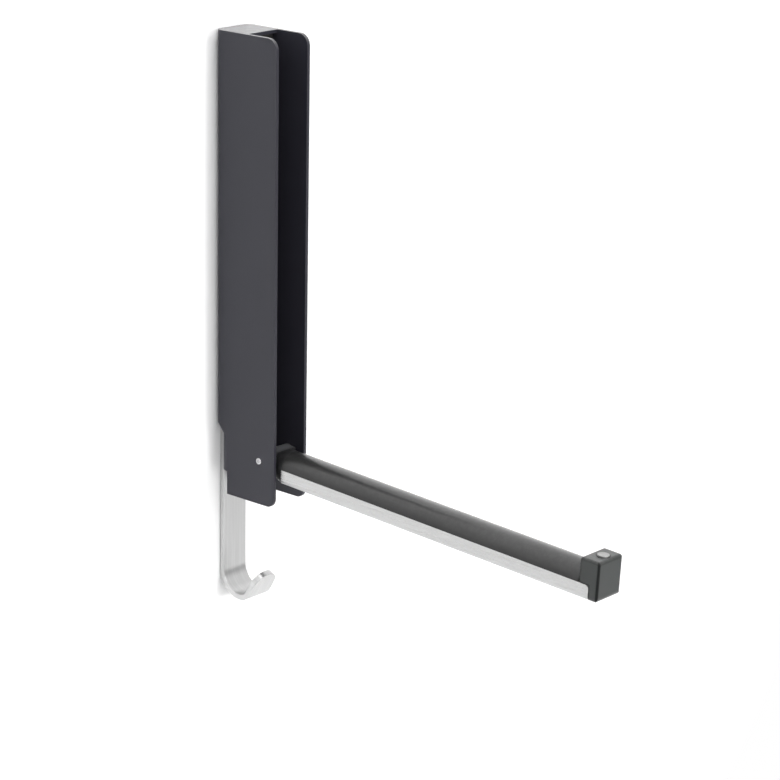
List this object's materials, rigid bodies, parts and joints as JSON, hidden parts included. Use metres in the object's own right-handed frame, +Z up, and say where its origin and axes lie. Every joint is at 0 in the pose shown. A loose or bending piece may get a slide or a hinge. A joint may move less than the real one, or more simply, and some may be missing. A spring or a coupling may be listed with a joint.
{
  "type": "wall mounted clothes valet",
  "caption": "Fold-down clothes valet for a wall: a hinged arm carries coat hangers and folds up into a narrow channel, with a steel J hook below.",
  "frame": {"origin": "on the wall plane, midway between the two wall screw holes", "axes": "+Y into the wall, -Y the way the lowered arm reaches, +X to the right of someone facing the wall, +Z up"},
  "size_m": [0.02, 0.2052, 0.2485],
  "materials": {
    "housing_black": "satin",
    "arm_black": "satin",
    "cap_black": "fine texture",
    "inner_black": "matte",
    "brushed_steel": "brushed lengthwise",
    "pin_steel": "turned",
    "screw_steel": "plain",
    "nickel": "bright nickel plate",
    "bush_grey": "smooth acetal"
  },
  "bodies": {
    "wall_unit": {"housing": "housing_black", "hook_strip": "brushed_steel", "stop_block": "inner_black", "keeper_block": "inner_black", "keeper_disc": "nickel", "hinge_pin": "pin_steel", "strip_screw_lower": "screw_steel", "strip_screw_upper": "screw_steel", "keeper_screw_upper": "screw_steel", "keeper_screw_lower": "screw_steel"},
    "arm": {"hinge_bush_left": "bush_grey", "hinge_bush_right": "bush_grey", "hinge_head": "arm_black", "arm_channel": "brushed_steel", "arm_cover": "arm_black", "end_cap": "cap_black", "arm_magnet": "nickel", "head_screw_inner": "screw_steel", "head_screw_outer": "screw_steel", "cap_screw": "screw_steel"}
  },
  "joints": [
    {"name": "arm_hinge", "type": "hinge", "parent": "wall_unit", "child": "arm", "pos_m": [0, -0.026, -0.081], "axis": [-1, 0, 0], "range_deg": [0, 93]}
  ]
}
